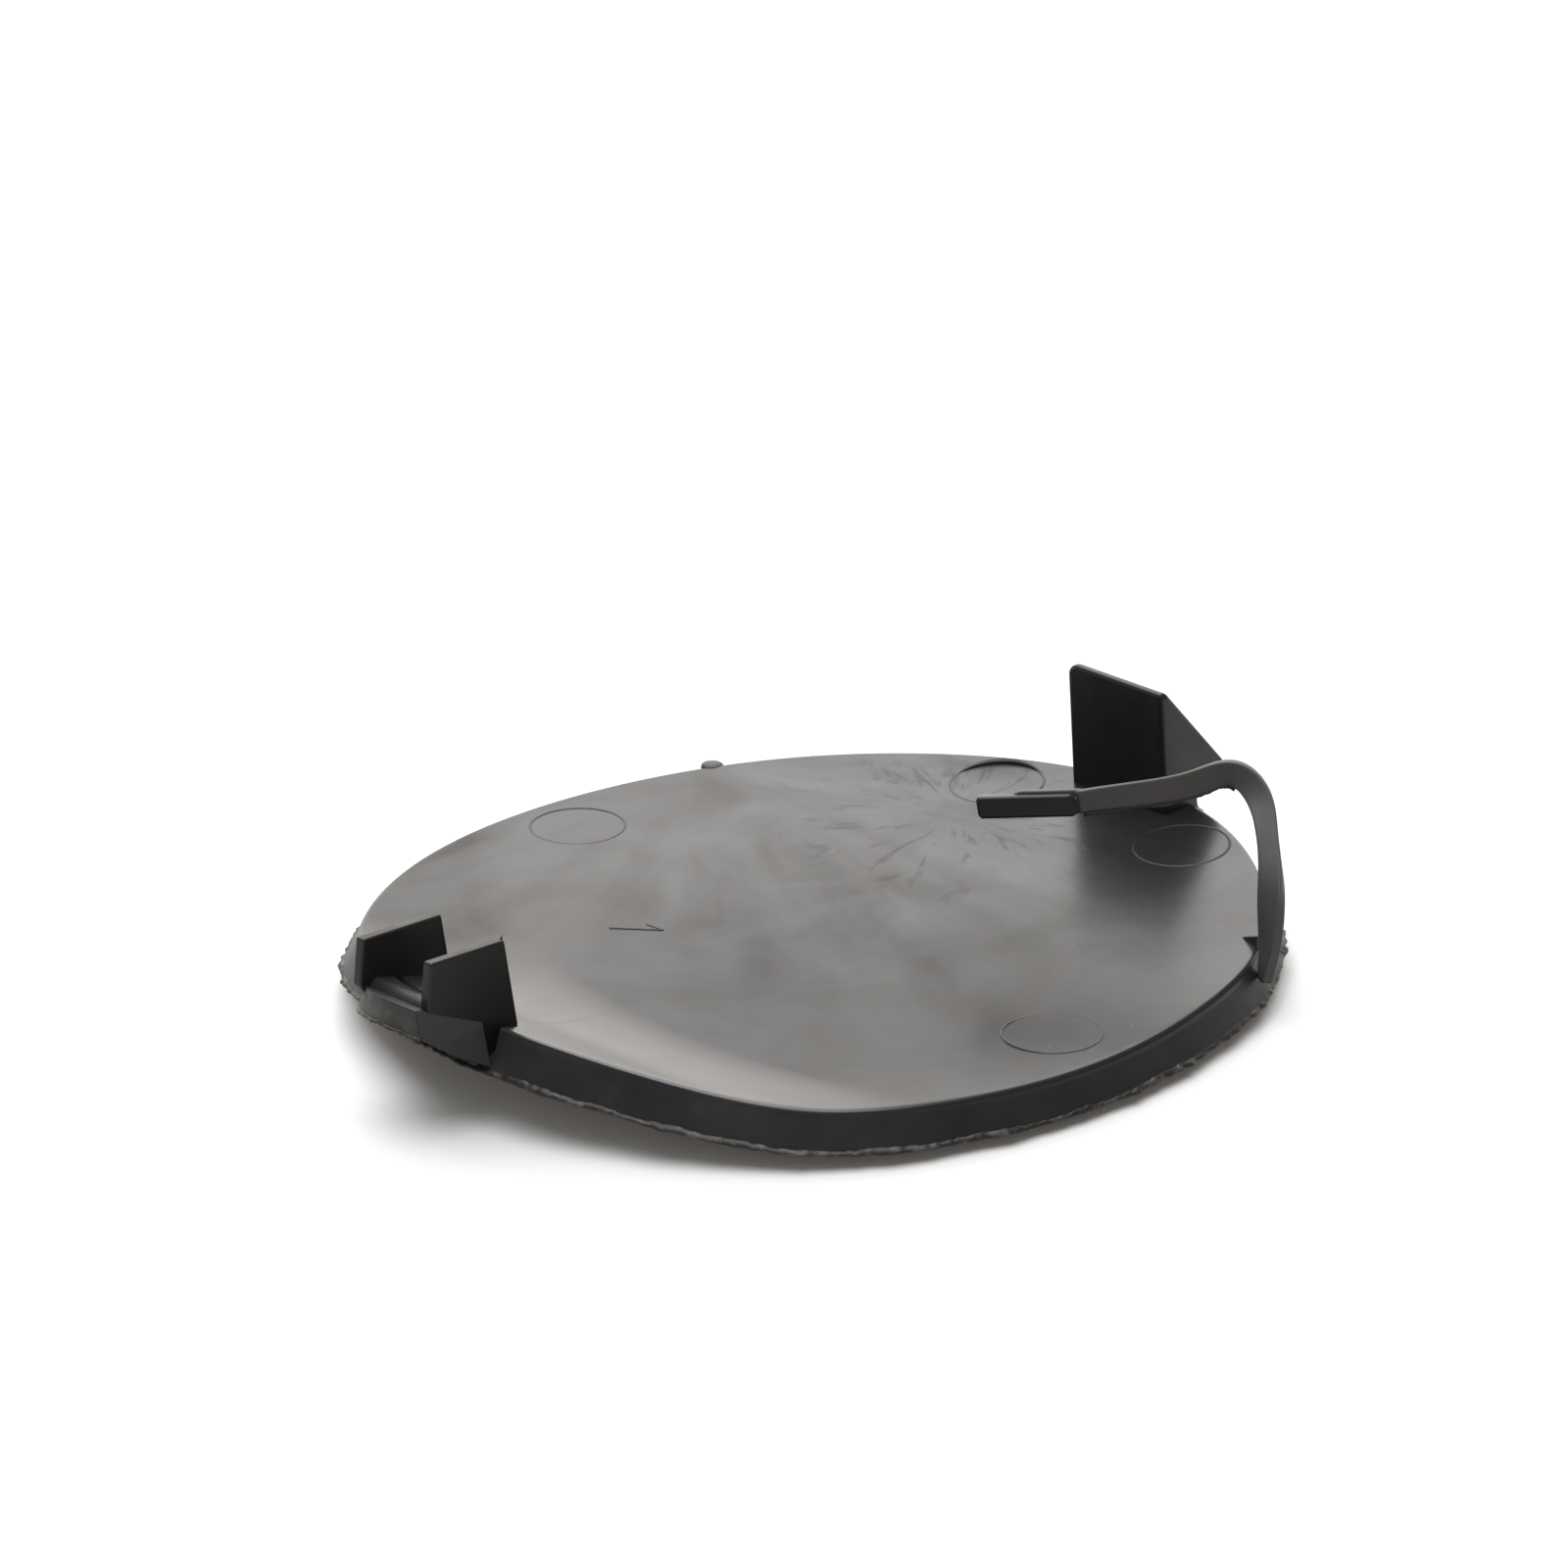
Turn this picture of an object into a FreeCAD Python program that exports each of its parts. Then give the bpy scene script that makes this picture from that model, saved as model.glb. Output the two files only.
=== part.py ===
import FreeCAD, Part
import math
import os

import Sketcher
from FreeCAD import Placement, Rotation, Vector

# Bumper tow hook cover, moulded in one piece of black plastic.
# It is modelled as it lies on a bench: painted face down, rear face up.
# In the part's own axes, x runs from the locating fins (minus) to the snap hook (plus),
# y runs across the cover and z points out of the rear face. Sizes are in millimetres.

doc = FreeCAD.newDocument("TowHookCover")

DIMENSIONS = [
    # the dished plate
    ("rear_level", 5.2, "height of the rear face at the middle of the dish"),
    ("plate_thickness", 5.0, "rear face to painted face"),
    ("dish_middle", -5.0, "place of the lowest line of the dish along the part axis"),
    ("dish_radius", 480.0, "long gentle curve of the bumper skin"),
    ("bend_start", -30.0, "where the skin starts to turn up towards the fins"),
    ("bend_radius", 40.0, "radius of that turn"),
    ("bend_angle", 16.0, "how far the fin end turns up, degrees"),
    ("crown_radius", 1000.0, "crown of the painted face across the part"),
    ("rim_radius", 47.0, "mean radius of the rear face"),
    ("wall_draft", 1.7, "how far the wall leans out on its way down"),
    ("wall_land", 0.4, "upright land at the foot of the wall"),
    ("gate_radius", 1.1, "half-round stub of the moulding gate"),
    ("gate_angle", 59.2, "place of the gate stub round the rim, degrees"),
    # the snap hook, its heights above the rear face
    ("hook_inset", 1.7, "inner face of the hook, in from the mean rim"),
    ("hook_width", 13.7, "width of the hook across the part"),
    ("hook_shift", 0.15, "sideways place of the hook"),
    ("hook_root", 3.0, "depth of the hook's root in the plate"),
    ("hook_height", 13.5, "top of the hook"),
    ("hook_lean", 1.2, "how far the inner face leans over the plate"),
    ("hook_crest", 0.9, "flat on top of the hook"),
    ("hook_neck", 4.8, "thickness of the neck under the barb"),
    ("neck_rise", 1.1, "where the underside of the barb meets the neck"),
    ("neck_foot", 0.3, "where the neck starts to flare into the rim"),
    ("neck_flare", 1.3, "flare of the neck into the rim"),
    ("barb_reach", 3.8, "barb beyond the neck"),
    ("barb_rise", 3.4, "lower corner of the barb point"),
    ("barb_nose", 0.6, "blunt end of the barb"),
    ("hook_round", 1.4, "rounded upper corner of the hook"),
    # the two locating fins, heights above the rear face at their inner end
    ("fin_inset", 2.8, "inner end of the fins, in from the mean rim"),
    ("fin_root", 2.3, "depth of the fins' root in the plate"),
    ("fin_height", 9.4, "height of a fin at its inner end"),
    ("fin_rise", 0.7, "rise of the top edge towards its outer end"),
    ("fin_lean", 1.7, "how far the inner end leans outward"),
    ("fin_top_reach", 12.0, "outer end of the top edge, from the inner end"),
    ("fin_reach", 12.5, "lower corner of the outer end, from the inner end"),
    ("fin_corner_rise", 4.8, "height of that corner"),
    ("fin_foot", 9.2, "length of a fin along its root"),
    ("fin_thickness", 1.2, "thickness of a fin"),
    ("fin_gap", 8.1, "clear space between the two fins"),
    ("fin_shift", 0.5, "sideways place of the pair of fins"),
    # the nose of the plate under the fins, and the web between their feet
    ("nose_start", 1.5, "inner end of the nose, from the fins' inner end"),
    ("nose_reach", 13.4, "front edge of the nose, from the fins' inner end"),
    ("nose_seat", 0.36, "height of its top at the inner end"),
    ("nose_rise", 5.33, "height of its front edge"),
    ("nose_front", 2.5, "height of its front wall"),
    ("nose_lean", 0.1, "how far the front wall leans out"),
    ("nose_belly", 1.9, "how far the front edge of the painted side lies back"),
    ("nose_chin", 2.2, "height of the slope up to the front wall"),
    ("nose_draft", 0.3, "how much the sides lean out per millimetre of depth"),
    ("web_inset", 2.4, "inner end of the web, from the fins' inner end"),
    ("web_height", 3.2, "height of the web's inner end"),
    ("web_rise", 1.3, "rise of the web towards the nose"),
    ("web_length", 6.6, "length of the web"),
    ("groove_place", 3.6, "groove across the web, from its inner end"),
    ("groove_depth", 0.7, "depth of that groove"),
    ("web_root", 1.2, "underside of the web above the fins' root"),
    # the tether strap with its anchor block
    ("strap_width", 2.4, "broad side of the strap"),
    ("strap_thickness", 1.2, "thin side of the strap"),
    ("block_length", 9.8, "length of the anchor block"),
    ("block_width", 2.3, "width and height of the anchor block"),
    # how the cover lies
    ("part_turn", 43.5, "turn of the part axis from the x axis, degrees"),
]

sheet = doc.addObject("Spreadsheet::Sheet", "Dimensions")
for row, (alias, value, note) in enumerate(DIMENSIONS, start=1):
    sheet.set("A%d" % row, alias)
    sheet.set("B%d" % row, str(value))
    sheet.set("C%d" % row, note)
    sheet.setAlias("B%d" % row, alias)
doc.recompute()


def size(alias):
    """The value of one cell of the sheet."""
    return float(getattr(sheet, alias))


def feature(name, shape):
    """A document object for a shape that is worked out here from the sheet."""
    item = doc.addObject("Part::Feature", name)
    item.Shape = shape
    return item


# The dish: a long arc, a tight arc that turns the fin end up, and a straight run out.
# Both faces of the plate are offsets of this one line, so the arcs share their centres.
REACH = 75.0
BELOW = -40.0
ABOVE = 60.0


def dish_line(depth):
    """Points of the dish line at a depth under the rear face, from the hook end to the fin end."""
    radius = size("dish_radius")
    centre = Vector(size("dish_middle"), 0, size("rear_level") + radius)
    turn = math.asin((size("bend_start") - size("dish_middle")) / radius)
    end_turn = turn - math.radians(size("bend_angle"))
    far_turn = REACH / radius
    joint = centre + radius * Vector(math.sin(turn), 0, -math.cos(turn))
    inward = Vector(-math.sin(turn), 0, math.cos(turn))
    bend_centre = joint + size("bend_radius") * inward

    def gentle(angle):
        return centre + (radius + depth) * Vector(math.sin(angle), 0, -math.cos(angle))

    def tight(angle):
        reach = size("bend_radius") + depth
        return bend_centre + reach * Vector(math.sin(angle), 0, -math.cos(angle))

    last = tight(end_turn)
    along = Vector(-math.cos(end_turn), 0, -math.sin(end_turn))
    run_out = last + 0.5 * REACH * along
    return {
        "far": gentle(far_turn),
        "middle": gentle(0.5 * (far_turn + turn)),
        "joint": gentle(turn),
        "bend": tight(0.5 * (turn + end_turn)),
        "last": last,
        "end": run_out,
        "bend_centre": bend_centre,
    }


def dish_profile(depth, limit):
    """Closed face between the dish line at a depth and a level line at the height limit."""
    line = dish_line(depth)
    corner_fin = Vector(line["end"].x, 0, limit)
    corner_hook = Vector(line["far"].x, 0, limit)
    edges = [
        Part.Arc(line["far"], line["middle"], line["joint"]).toShape(),
        Part.Arc(line["joint"], line["bend"], line["last"]).toShape(),
        Part.makeLine(line["last"], line["end"]),
        Part.makeLine(line["end"], corner_fin),
        Part.makeLine(corner_fin, corner_hook),
        Part.makeLine(corner_hook, line["far"]),
    ]
    return Part.Face(Part.Wire(edges))


def rear_height(x):
    """Height of the rear face at a place x along the part axis."""
    line = dish_line(0.0)
    if x >= line["joint"].x:
        radius = size("dish_radius")
        offset = x - size("dish_middle")
        return size("rear_level") + radius - math.sqrt(radius ** 2 - offset ** 2)
    if x >= line["last"].x:
        across = x - line["bend_centre"].x
        return line["bend_centre"].z - math.sqrt(size("bend_radius") ** 2 - across ** 2)
    fall = (line["end"].z - line["last"].z) / (line["end"].x - line["last"].x)
    return line["last"].z + fall * (x - line["last"].x)


# The outline of the rear face, as angle round the part and distance over the mean radius.
# It is nearly round, with two soft corners towards the fins (180 degrees).
RIM_POINTS = [
    (0, 2.8), (14, 2.2), (32, 1.1), (50, 0.4), (70, -0.4), (90, -1.0), (113, -1.3),
    (134, -0.9), (150, 0.1), (161, 1.0), (172, 1.4), (-172, 1.4), (-162, 1.5), (-146, 1.3),
    (-131, 1.1), (-115, -0.6), (-95, -2.3), (-70, -2.4), (-54, -0.9), (-30, 0.9), (-14, 2.4),
]


def rim_point(angle, extra, height):
    """A point on the plan outline, extra beyond the rear face's rim."""
    reach = size("rim_radius") + extra
    return Vector(reach * math.cos(math.radians(angle)), reach * math.sin(math.radians(angle)), height)


def rim_curve():
    """Smooth closed outline of the foot of the wall, drawn well below the part."""
    curve = Part.BSplineCurve()
    points = [rim_point(angle, offset + size("wall_draft"), BELOW) for angle, offset in RIM_POINTS]
    curve.interpolate(Points=points, PeriodicFlag=True)
    return curve


outline = feature("rim_outline", Part.Face(Part.Wire(rim_curve().toShape())))
outline_prism = doc.addObject("Part::Extrusion", "outline_prism")
outline_prism.Base = outline
outline_prism.Dir = Vector(0, 0, 1)
outline_prism.LengthFwd = ABOVE - BELOW
outline_prism.Solid = True

# Everything under the rear face, which is straight across the part.
rear_profile = feature("rear_profile", dish_profile(0.0, BELOW))
under_rear = doc.addObject("Part::Extrusion", "under_rear_face")
under_rear.Base = rear_profile
under_rear.Dir = Vector(0, 1, 0)
under_rear.LengthFwd = REACH
under_rear.LengthRev = REACH
under_rear.Solid = True

# Everything above the painted face, which is crowned across the part as well.
skin_profile = feature("skin_profile", dish_profile(size("plate_thickness"), ABOVE))
crown_sweep = math.degrees(REACH / size("crown_radius"))
crown_axis = Vector(0, 0, size("crown_radius"))
skin_profile.Placement = Placement(Vector(0, 0, 0), Rotation(Vector(1, 0, 0), crown_sweep), crown_axis)
over_skin = doc.addObject("Part::Revolution", "over_painted_face")
over_skin.Source = skin_profile
over_skin.Axis = Vector(-1, 0, 0)
over_skin.Base = crown_axis
over_skin.Angle = 2.0 * crown_sweep
over_skin.Solid = True

blank = doc.addObject("Part::MultiCommon", "plate_blank")
blank.Shapes = [outline_prism, under_rear, over_skin]
doc.recompute()


def outward_normal(face):
    """Normal of a face at its centre of mass."""
    return face.normalAt(*face.Surface.parameter(face.CenterOfMass))


def rim_edge_numbers(shape, wall_test):
    """Numbers of the edges between the faces of the wall and the faces of the rear side."""
    found = []
    for number, edge in enumerate(shape.Edges, start=1):
        owners = [face for face in shape.Faces if any(edge.isSame(item) for item in face.Edges)]
        walls = [face for face in owners if wall_test(face)]
        rears = [face for face in owners if outward_normal(face).z > 0.9 and not wall_test(face)]
        if len(walls) == 1 and len(rears) == 1:
            found.append(number)
    return found


# The drafted wall: a chamfer with its long side down the wall and its short side on the rear face.
# The crown makes the wall lowest at the two sides, so its height follows from there.
crown_drop = size("rim_radius") ** 2 / (2.0 * size("crown_radius"))
wall_height = size("plate_thickness") - crown_drop - size("wall_land")
drafted = doc.addObject("Part::Chamfer", "drafted_plate")
drafted.Base = blank
upright = rim_edge_numbers(blank.Shape, lambda face: "Extrusion" in face.Surface.TypeId)
drafted.Edges = [(number, wall_height, size("wall_draft")) for number in upright]
doc.recompute()



def profile_sketch(name, corners, turn, root):
    """Closed upright sketch along the part axis from a root height; corners hang on the sheet."""
    sketch = doc.addObject("Sketcher::SketchObject", name)
    upright_plane = Rotation(Vector(0, 0, 1), turn).multiply(Rotation(Vector(1, 0, 0), 90))
    sketch.Placement = Placement(Vector(0, 0, root), upright_plane)
    count = len(corners)
    points = [Vector(x, z, 0) for x, z, _, _ in corners]
    for index in range(count):
        sketch.addGeometry(Part.LineSegment(points[index], points[(index + 1) % count]), False)
    for index in range(count):
        sketch.addConstraint(Sketcher.Constraint("Coincident", index, 2, (index + 1) % count, 1))
    for index, (x, z, along, height) in enumerate(corners):
        number = sketch.addConstraint(Sketcher.Constraint("DistanceX", -1, 1, index, 1, x))
        sketch.setExpression("Constraints[%d]" % number, along)
        number = sketch.addConstraint(Sketcher.Constraint("DistanceY", -1, 1, index, 1, z))
        sketch.setExpression("Constraints[%d]" % number, height)
    return sketch


def upright_plate(name, sketch, thickness, middle):
    """Extrude a profile across the part; middle is the expression of its middle plane."""
    plate = doc.addObject("Part::Extrusion", name)
    plate.Base = sketch
    plate.Dir = Vector(0, 1, 0)
    plate.DirMode = "Custom"
    plate.Solid = True
    plate.Symmetric = True
    plate.setExpression("LengthFwd", thickness)
    plate.setExpression("Placement.Base.y", middle)
    return plate


# The snap hook: inner face, small crest, long ramp, blunt barb, undercut and flared neck.
# Heights run from its root, which lies inside the plate.
inner = "Dimensions.rim_radius - Dimensions.hook_inset"
crest = inner + " - Dimensions.hook_lean + Dimensions.hook_crest"
neck = inner + " + Dimensions.hook_neck"
top = "Dimensions.hook_root + Dimensions.hook_height"
hook_corners = [
    (45.3, 0.1, inner, "Dimensions.hook_root * 0.05"),
    (44.1, 16.5, inner + " - Dimensions.hook_lean", top),
    (45.0, 16.5, crest, top),
    (53.9, 7.0, neck + " + Dimensions.barb_reach",
     "Dimensions.hook_root + Dimensions.barb_rise + Dimensions.barb_nose"),
    (53.9, 6.4, neck + " + Dimensions.barb_reach", "Dimensions.hook_root + Dimensions.barb_rise"),
    (50.1, 4.1, neck, "Dimensions.hook_root + Dimensions.neck_rise"),
    (50.1, 3.3, neck, "Dimensions.hook_root + Dimensions.neck_foot"),
    (51.4, 2.0, neck + " + Dimensions.neck_flare",
     "Dimensions.hook_root + Dimensions.neck_foot - Dimensions.neck_flare"),
    (51.4, 0.1, neck + " + Dimensions.neck_flare", "Dimensions.hook_root * 0.05"),
]
hook_seat = rear_height(size("rim_radius") - size("hook_inset"))
hook_sketch = profile_sketch("hook_profile", hook_corners, 0, hook_seat - size("hook_root"))
hook_block = upright_plate("hook_block", hook_sketch, "Dimensions.hook_width",
                           "Dimensions.hook_shift")

# The nose of the plate under the fins rises a little more steeply than the plate does.
# Heights of its profile run from the painted side of the plate.
start = "Dimensions.rim_radius - Dimensions.fin_inset"
fin_start = size("rim_radius") - size("fin_inset")
fin_seat = rear_height(-fin_start)
nose_begin = start + " + Dimensions.nose_start"
nose_end = start + " + Dimensions.nose_reach"
front_top = "Dimensions.plate_thickness + Dimensions.nose_rise"
chin = front_top + " - Dimensions.nose_front - Dimensions.nose_chin"
nose_corners = [
    (45.7, 1.9, nose_begin, "Dimensions.plate_thickness * 0.38"),
    (45.7, 5.36, nose_begin, "Dimensions.plate_thickness + Dimensions.nose_seat"),
    (57.6, 10.33, nose_end, front_top),
    (57.7, 7.83, nose_end + " + Dimensions.nose_lean", front_top + " - Dimensions.nose_front"),
    (55.8, 5.63, nose_end + " + Dimensions.nose_lean - Dimensions.nose_belly", chin),
    (47.9, 1.4, nose_begin + " + 0.44 * Dimensions.plate_thickness",
     "Dimensions.plate_thickness * 0.28"),
]
nose_sketch = profile_sketch("nose_profile", nose_corners, 180,
                             fin_seat - size("plate_thickness"))
nose_side = upright_plate("nose_side", nose_sketch, "2 * Dimensions.fin_gap",
                          "Dimensions.fin_shift")

# Its two sides start in the fins' outer faces and lean out, so that a pointed gap that closes
# towards the foot is left between each side and the wall.
climb = size("nose_rise") - size("nose_seat")
slope = math.atan(climb / (size("nose_reach") - size("nose_start")))
down = Vector(-math.sin(slope), 0, -math.cos(slope))
outward = Vector(-math.cos(slope), 0, math.sin(slope))
half_pair = 0.5 * size("fin_gap") + size("fin_thickness")
above, below = 1.0, 2.0 * size("plate_thickness")
narrow, wide = half_pair - size("nose_draft") * above, half_pair + size("nose_draft") * below
nose_block = doc.addObject("Part::Wedge", "nose_block")
nose_block.Ymin, nose_block.Ymax = -above, below
nose_block.Xmin, nose_block.Xmax = -narrow, narrow
nose_block.X2min, nose_block.X2max = -wide, wide
nose_block.Zmin, nose_block.Z2min = -below, -below
nose_block.Zmax, nose_block.Z2max = 2.0 * size("nose_reach"), 2.0 * size("nose_reach")
nose_block.Placement = Placement(
    Vector(-fin_start - size("nose_start"), size("fin_shift"), fin_seat + size("nose_seat")),
    Rotation(Vector(0, 1, 0), down, outward, "XYZ"))
nose = doc.addObject("Part::MultiCommon", "nose")
nose.Shapes = [nose_block, nose_side]

# A fin: its inner end leans outward, its outer end stands on the front edge of the nose.
root_top = "Dimensions.fin_root + "
fin_corners = [
    (44.2, 0.1, start, "Dimensions.fin_root * 0.05"),
    (45.9, 11.7, start + " + Dimensions.fin_lean", root_top + "Dimensions.fin_height"),
    (56.2, 12.4, start + " + Dimensions.fin_top_reach",
     root_top + "Dimensions.fin_height + Dimensions.fin_rise"),
    (56.7, 7.1, start + " + Dimensions.fin_reach", root_top + "Dimensions.fin_corner_rise"),
    (53.4, 2.3, start + " + Dimensions.fin_foot", "Dimensions.fin_root"),
]
fin_sketch = profile_sketch("fin_profile", fin_corners, 180, fin_seat - size("fin_root"))
offset = "(Dimensions.fin_gap + Dimensions.fin_thickness) / 2"
near_fin = upright_plate("near_fin", fin_sketch, "Dimensions.fin_thickness",
                         "Dimensions.fin_shift - " + offset)
far_fin = upright_plate("far_fin", fin_sketch, "Dimensions.fin_thickness",
                        "Dimensions.fin_shift + " + offset)

# The raised web between the feet of the fins, with a shallow groove across it.
web_start = start + " + Dimensions.web_inset"
groove = web_start + " + Dimensions.groove_place"
web_end = web_start + " + Dimensions.web_length"
web_top = root_top + "Dimensions.web_height"
middle_top = web_top + " + Dimensions.web_rise / 2"
web_corners = [
    (46.6, 1.2, web_start, "Dimensions.web_root"),
    (46.6, 5.5, web_start, web_top),
    (49.9, 6.1, groove + " - 0.3", middle_top),
    (50.2, 5.4, groove, middle_top + " - Dimensions.groove_depth"),
    (50.6, 6.1, groove + " + 0.4", middle_top),
    (53.2, 6.8, web_end, web_top + " + Dimensions.web_rise"),
    (53.6, 6.0, web_end + " + 0.4", web_top + " + Dimensions.web_rise - 0.8"),
    (53.2, 2.7, web_end, "Dimensions.fin_root + 0.4"),
]
web_sketch = profile_sketch("web_profile", web_corners, 180, fin_seat - size("fin_root"))
web = upright_plate("fin_web", web_sketch, "Dimensions.fin_gap + Dimensions.fin_thickness",
                    "Dimensions.fin_shift")

# Round the upper far corner of the hook as seen on its inner face.
doc.recompute()
hook = doc.addObject("Part::Fillet", "snap_hook")
hook.Base = hook_block
far_side = 0.5 * size("hook_width")
hook_middle = size("hook_shift")
corner_edges = []
for number, edge in enumerate(hook_block.Shape.Edges, start=1):
    middle = edge.CenterOfMass
    on_side = abs(abs(middle.y - hook_middle) - far_side) < 0.01
    if on_side and middle.z > hook_seat + size("hook_height") - 0.01:
        corner_edges.append((number, middle.y))
radius = size("hook_round")
hook.Edges = [(number, radius if y > 0 else 0.3 * radius, radius if y > 0 else 0.3 * radius)
              for number, y in corner_edges]

# The stub left by the moulding gate stands on the far rim.
gate = doc.addObject("Part::Cylinder", "gate_stub")
gate.setExpression("Radius", "Dimensions.gate_radius")
gate.setExpression("Height", "0.6 * Dimensions.plate_thickness")
gate_place = rim_point(size("gate_angle"), 0.2, 0)
gate_place.z = rear_height(gate_place.x) - 0.6 * size("plate_thickness") - 0.25
gate.Placement = Placement(gate_place, Rotation())


# The tether strap: a flat band that leaves the wall, rises, twists and arches over the plate.
# Each station is its place (x, y) for a mean rim of 47 mm, its height over the rear face at
# the strap's root, its share of the broad side and its twist in degrees.
STRAP_STATIONS = [
    (24.9, -38.6, -1.5, 1.25, 75),
    (26.1, -39.2, 3.0, 1.0, 60),
    (27.4, -38.2, 5.9, 1.0, 35),
    (28.6, -36.9, 8.7, 0.9, 10),
    (30.2, -34.8, 11.7, 0.9, 0),
    (31.6, -32.0, 14.5, 1.1, 0),
    (31.3, -28.9, 16.1, 1.08, 0),
    (29.3, -25.7, 14.9, 1.08, 0),
    (26.0, -21.8, 13.6, 1.1, 0),
    (21.4, -16.9, 12.5, 0.85, 0),
]
root_x, root_y = STRAP_STATIONS[0][:2]
root_way = Vector(root_x, root_y, 0).normalize()
strap_shift = root_way * (size("rim_radius") - 47.0)
strap_seat = rear_height(root_x + strap_shift.x)
strap_line = [Vector(x, y, strap_seat + z) + strap_shift for x, y, z, _, _ in STRAP_STATIONS]


def section_corners(middle, tangent, across, broad, thin, twist):
    """Corners of a rectangle square to the path; across is the way of its thin side, then twisted."""
    turned = Rotation(tangent, twist).multVec(across - tangent * tangent.dot(across))
    thin_way = turned.normalize()
    broad_way = tangent.cross(thin_way).normalize()
    corners = []
    for a, b in ((-1, -1), (1, -1), (1, 1), (-1, 1)):
        corners.append(middle + broad_way * (0.5 * a * broad) + thin_way * (0.5 * b * thin))
    return corners


def blend(values, position):
    """Value at a position between the stations, straight from one station to the next."""
    index = min(int(position), len(values) - 2)
    part = position - index
    return values[index] * (1.0 - part) + values[index + 1] * part


turn = math.radians(size("part_turn"))
facing = Vector(math.sin(turn), math.cos(turn), 0)
path = Part.BSplineCurve()
pace = [float(index) for index in range(len(STRAP_STATIONS))]
path.interpolate(Points=strap_line, Parameters=pace)
shares = [station[3] for station in STRAP_STATIONS]
twists = [station[4] for station in STRAP_STATIONS]
sections = []
steps = 2 * (len(STRAP_STATIONS) - 1)
for step in range(steps + 1):
    position = pace[-1] * step / steps
    corners = section_corners(path.value(position), path.tangent(position)[0], facing,
                              blend(shares, position) * size("strap_width"),
                              size("strap_thickness"), blend(twists, position))
    sections.append(Part.makePolygon(corners + [corners[0]]))
strap = feature("strap", Part.makeLoft(sections, True, True))

# The anchor block carries on squarely from the strap's end and is a little thicker.
block_start = strap_line[-1]
heading = path.tangent(path.LastParameter)[0]
block_ends = []
for distance, share in ((0.0, 0.86), (0.7, 1.0), (size("block_length"), 0.94)):
    middle = block_start + heading * distance
    side = share * size("block_width")
    corners = section_corners(middle, heading, facing, side, side, 0)
    block_ends.append(Part.makePolygon(corners + [corners[0]]))
block = feature("anchor_block", Part.makeLoft(block_ends, True, True))

# Put everything together: all the pieces are one moulding.
cover = doc.addObject("Part::MultiFuse", "tow_hook_cover")
cover.Label = "tow_hook_cover"
cover.Shapes = [drafted, nose, hook, near_fin, far_fin, web, gate, strap, block]
cover.Refine = True
doc.recompute()

# Lay the cover down: turn it, then stand it on the bench in the middle of its bounding box.
lying = Rotation(Vector(0, 0, 1), size("part_turn"))
cover.Placement = Placement(Vector(0, 0, 0), lying)
doc.recompute()
box = cover.Shape.optimalBoundingBox(True, False)
cover.Placement = Placement(Vector(-box.Center.x, -box.Center.y, -box.ZMin), lying)
doc.recompute()

for item in doc.Objects:
    if "Invalid" in item.State or "Error" in item.State:
        raise RuntimeError("%s did not compute: %s" % (item.Label, item.State))
if cover.Shape.isNull() or not cover.Shape.isValid() or len(cover.Shape.Solids) != 1:
    raise RuntimeError("tow_hook_cover is not one valid solid")

box = cover.Shape.optimalBoundingBox(True, False)
print("middle of the part at %.2f %.2f %.2f mm" % tuple(cover.Placement.Base))
print("size %.2f x %.2f x %.2f mm" % (box.XLength, box.YLength, box.ZLength))
print("volume %.0f mm3, mass %.1f g" % (cover.Shape.Volume, cover.Shape.Volume * 0.00091))
os.makedirs("parts", exist_ok=True)
cover.Shape.exportStep("parts/tow_hook_cover.step")
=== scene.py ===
# %% [markdown]
# # A bumper tow hook cover, seen from its rear face
#
# The cover is one moulding of black polypropylene: a dished plate, a snap hook, two locating fins
# and a thin tether strap with an anchor block. It lies on a white table with its painted face down.
# This lesson rebuilds each surface from a formula or a short profile, adds the small marks that a
# mould leaves, and lights the rear face from behind, so that it shines at a grazing angle.

# %% The frame and the measures of the part
import bpy
import math
import numpy as np
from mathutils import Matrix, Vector


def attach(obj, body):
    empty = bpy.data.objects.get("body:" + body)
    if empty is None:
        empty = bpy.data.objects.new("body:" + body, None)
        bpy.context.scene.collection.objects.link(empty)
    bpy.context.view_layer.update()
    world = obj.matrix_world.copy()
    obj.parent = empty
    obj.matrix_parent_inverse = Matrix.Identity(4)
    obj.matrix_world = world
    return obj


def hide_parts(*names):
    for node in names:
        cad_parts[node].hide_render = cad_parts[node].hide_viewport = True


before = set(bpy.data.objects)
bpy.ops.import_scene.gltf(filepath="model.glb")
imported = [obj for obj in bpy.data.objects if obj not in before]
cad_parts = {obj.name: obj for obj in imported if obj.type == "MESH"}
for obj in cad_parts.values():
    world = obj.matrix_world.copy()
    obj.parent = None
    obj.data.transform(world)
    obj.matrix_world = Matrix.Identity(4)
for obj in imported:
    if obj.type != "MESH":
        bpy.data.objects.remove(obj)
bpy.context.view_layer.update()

MM = 0.001
TURN = math.radians(43.5)                  # part axis, from the x axis
MIDDLE = np.array([-0.37, 0.34, -0.20])    # middle of the part in the row frame, in millimetres

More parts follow.
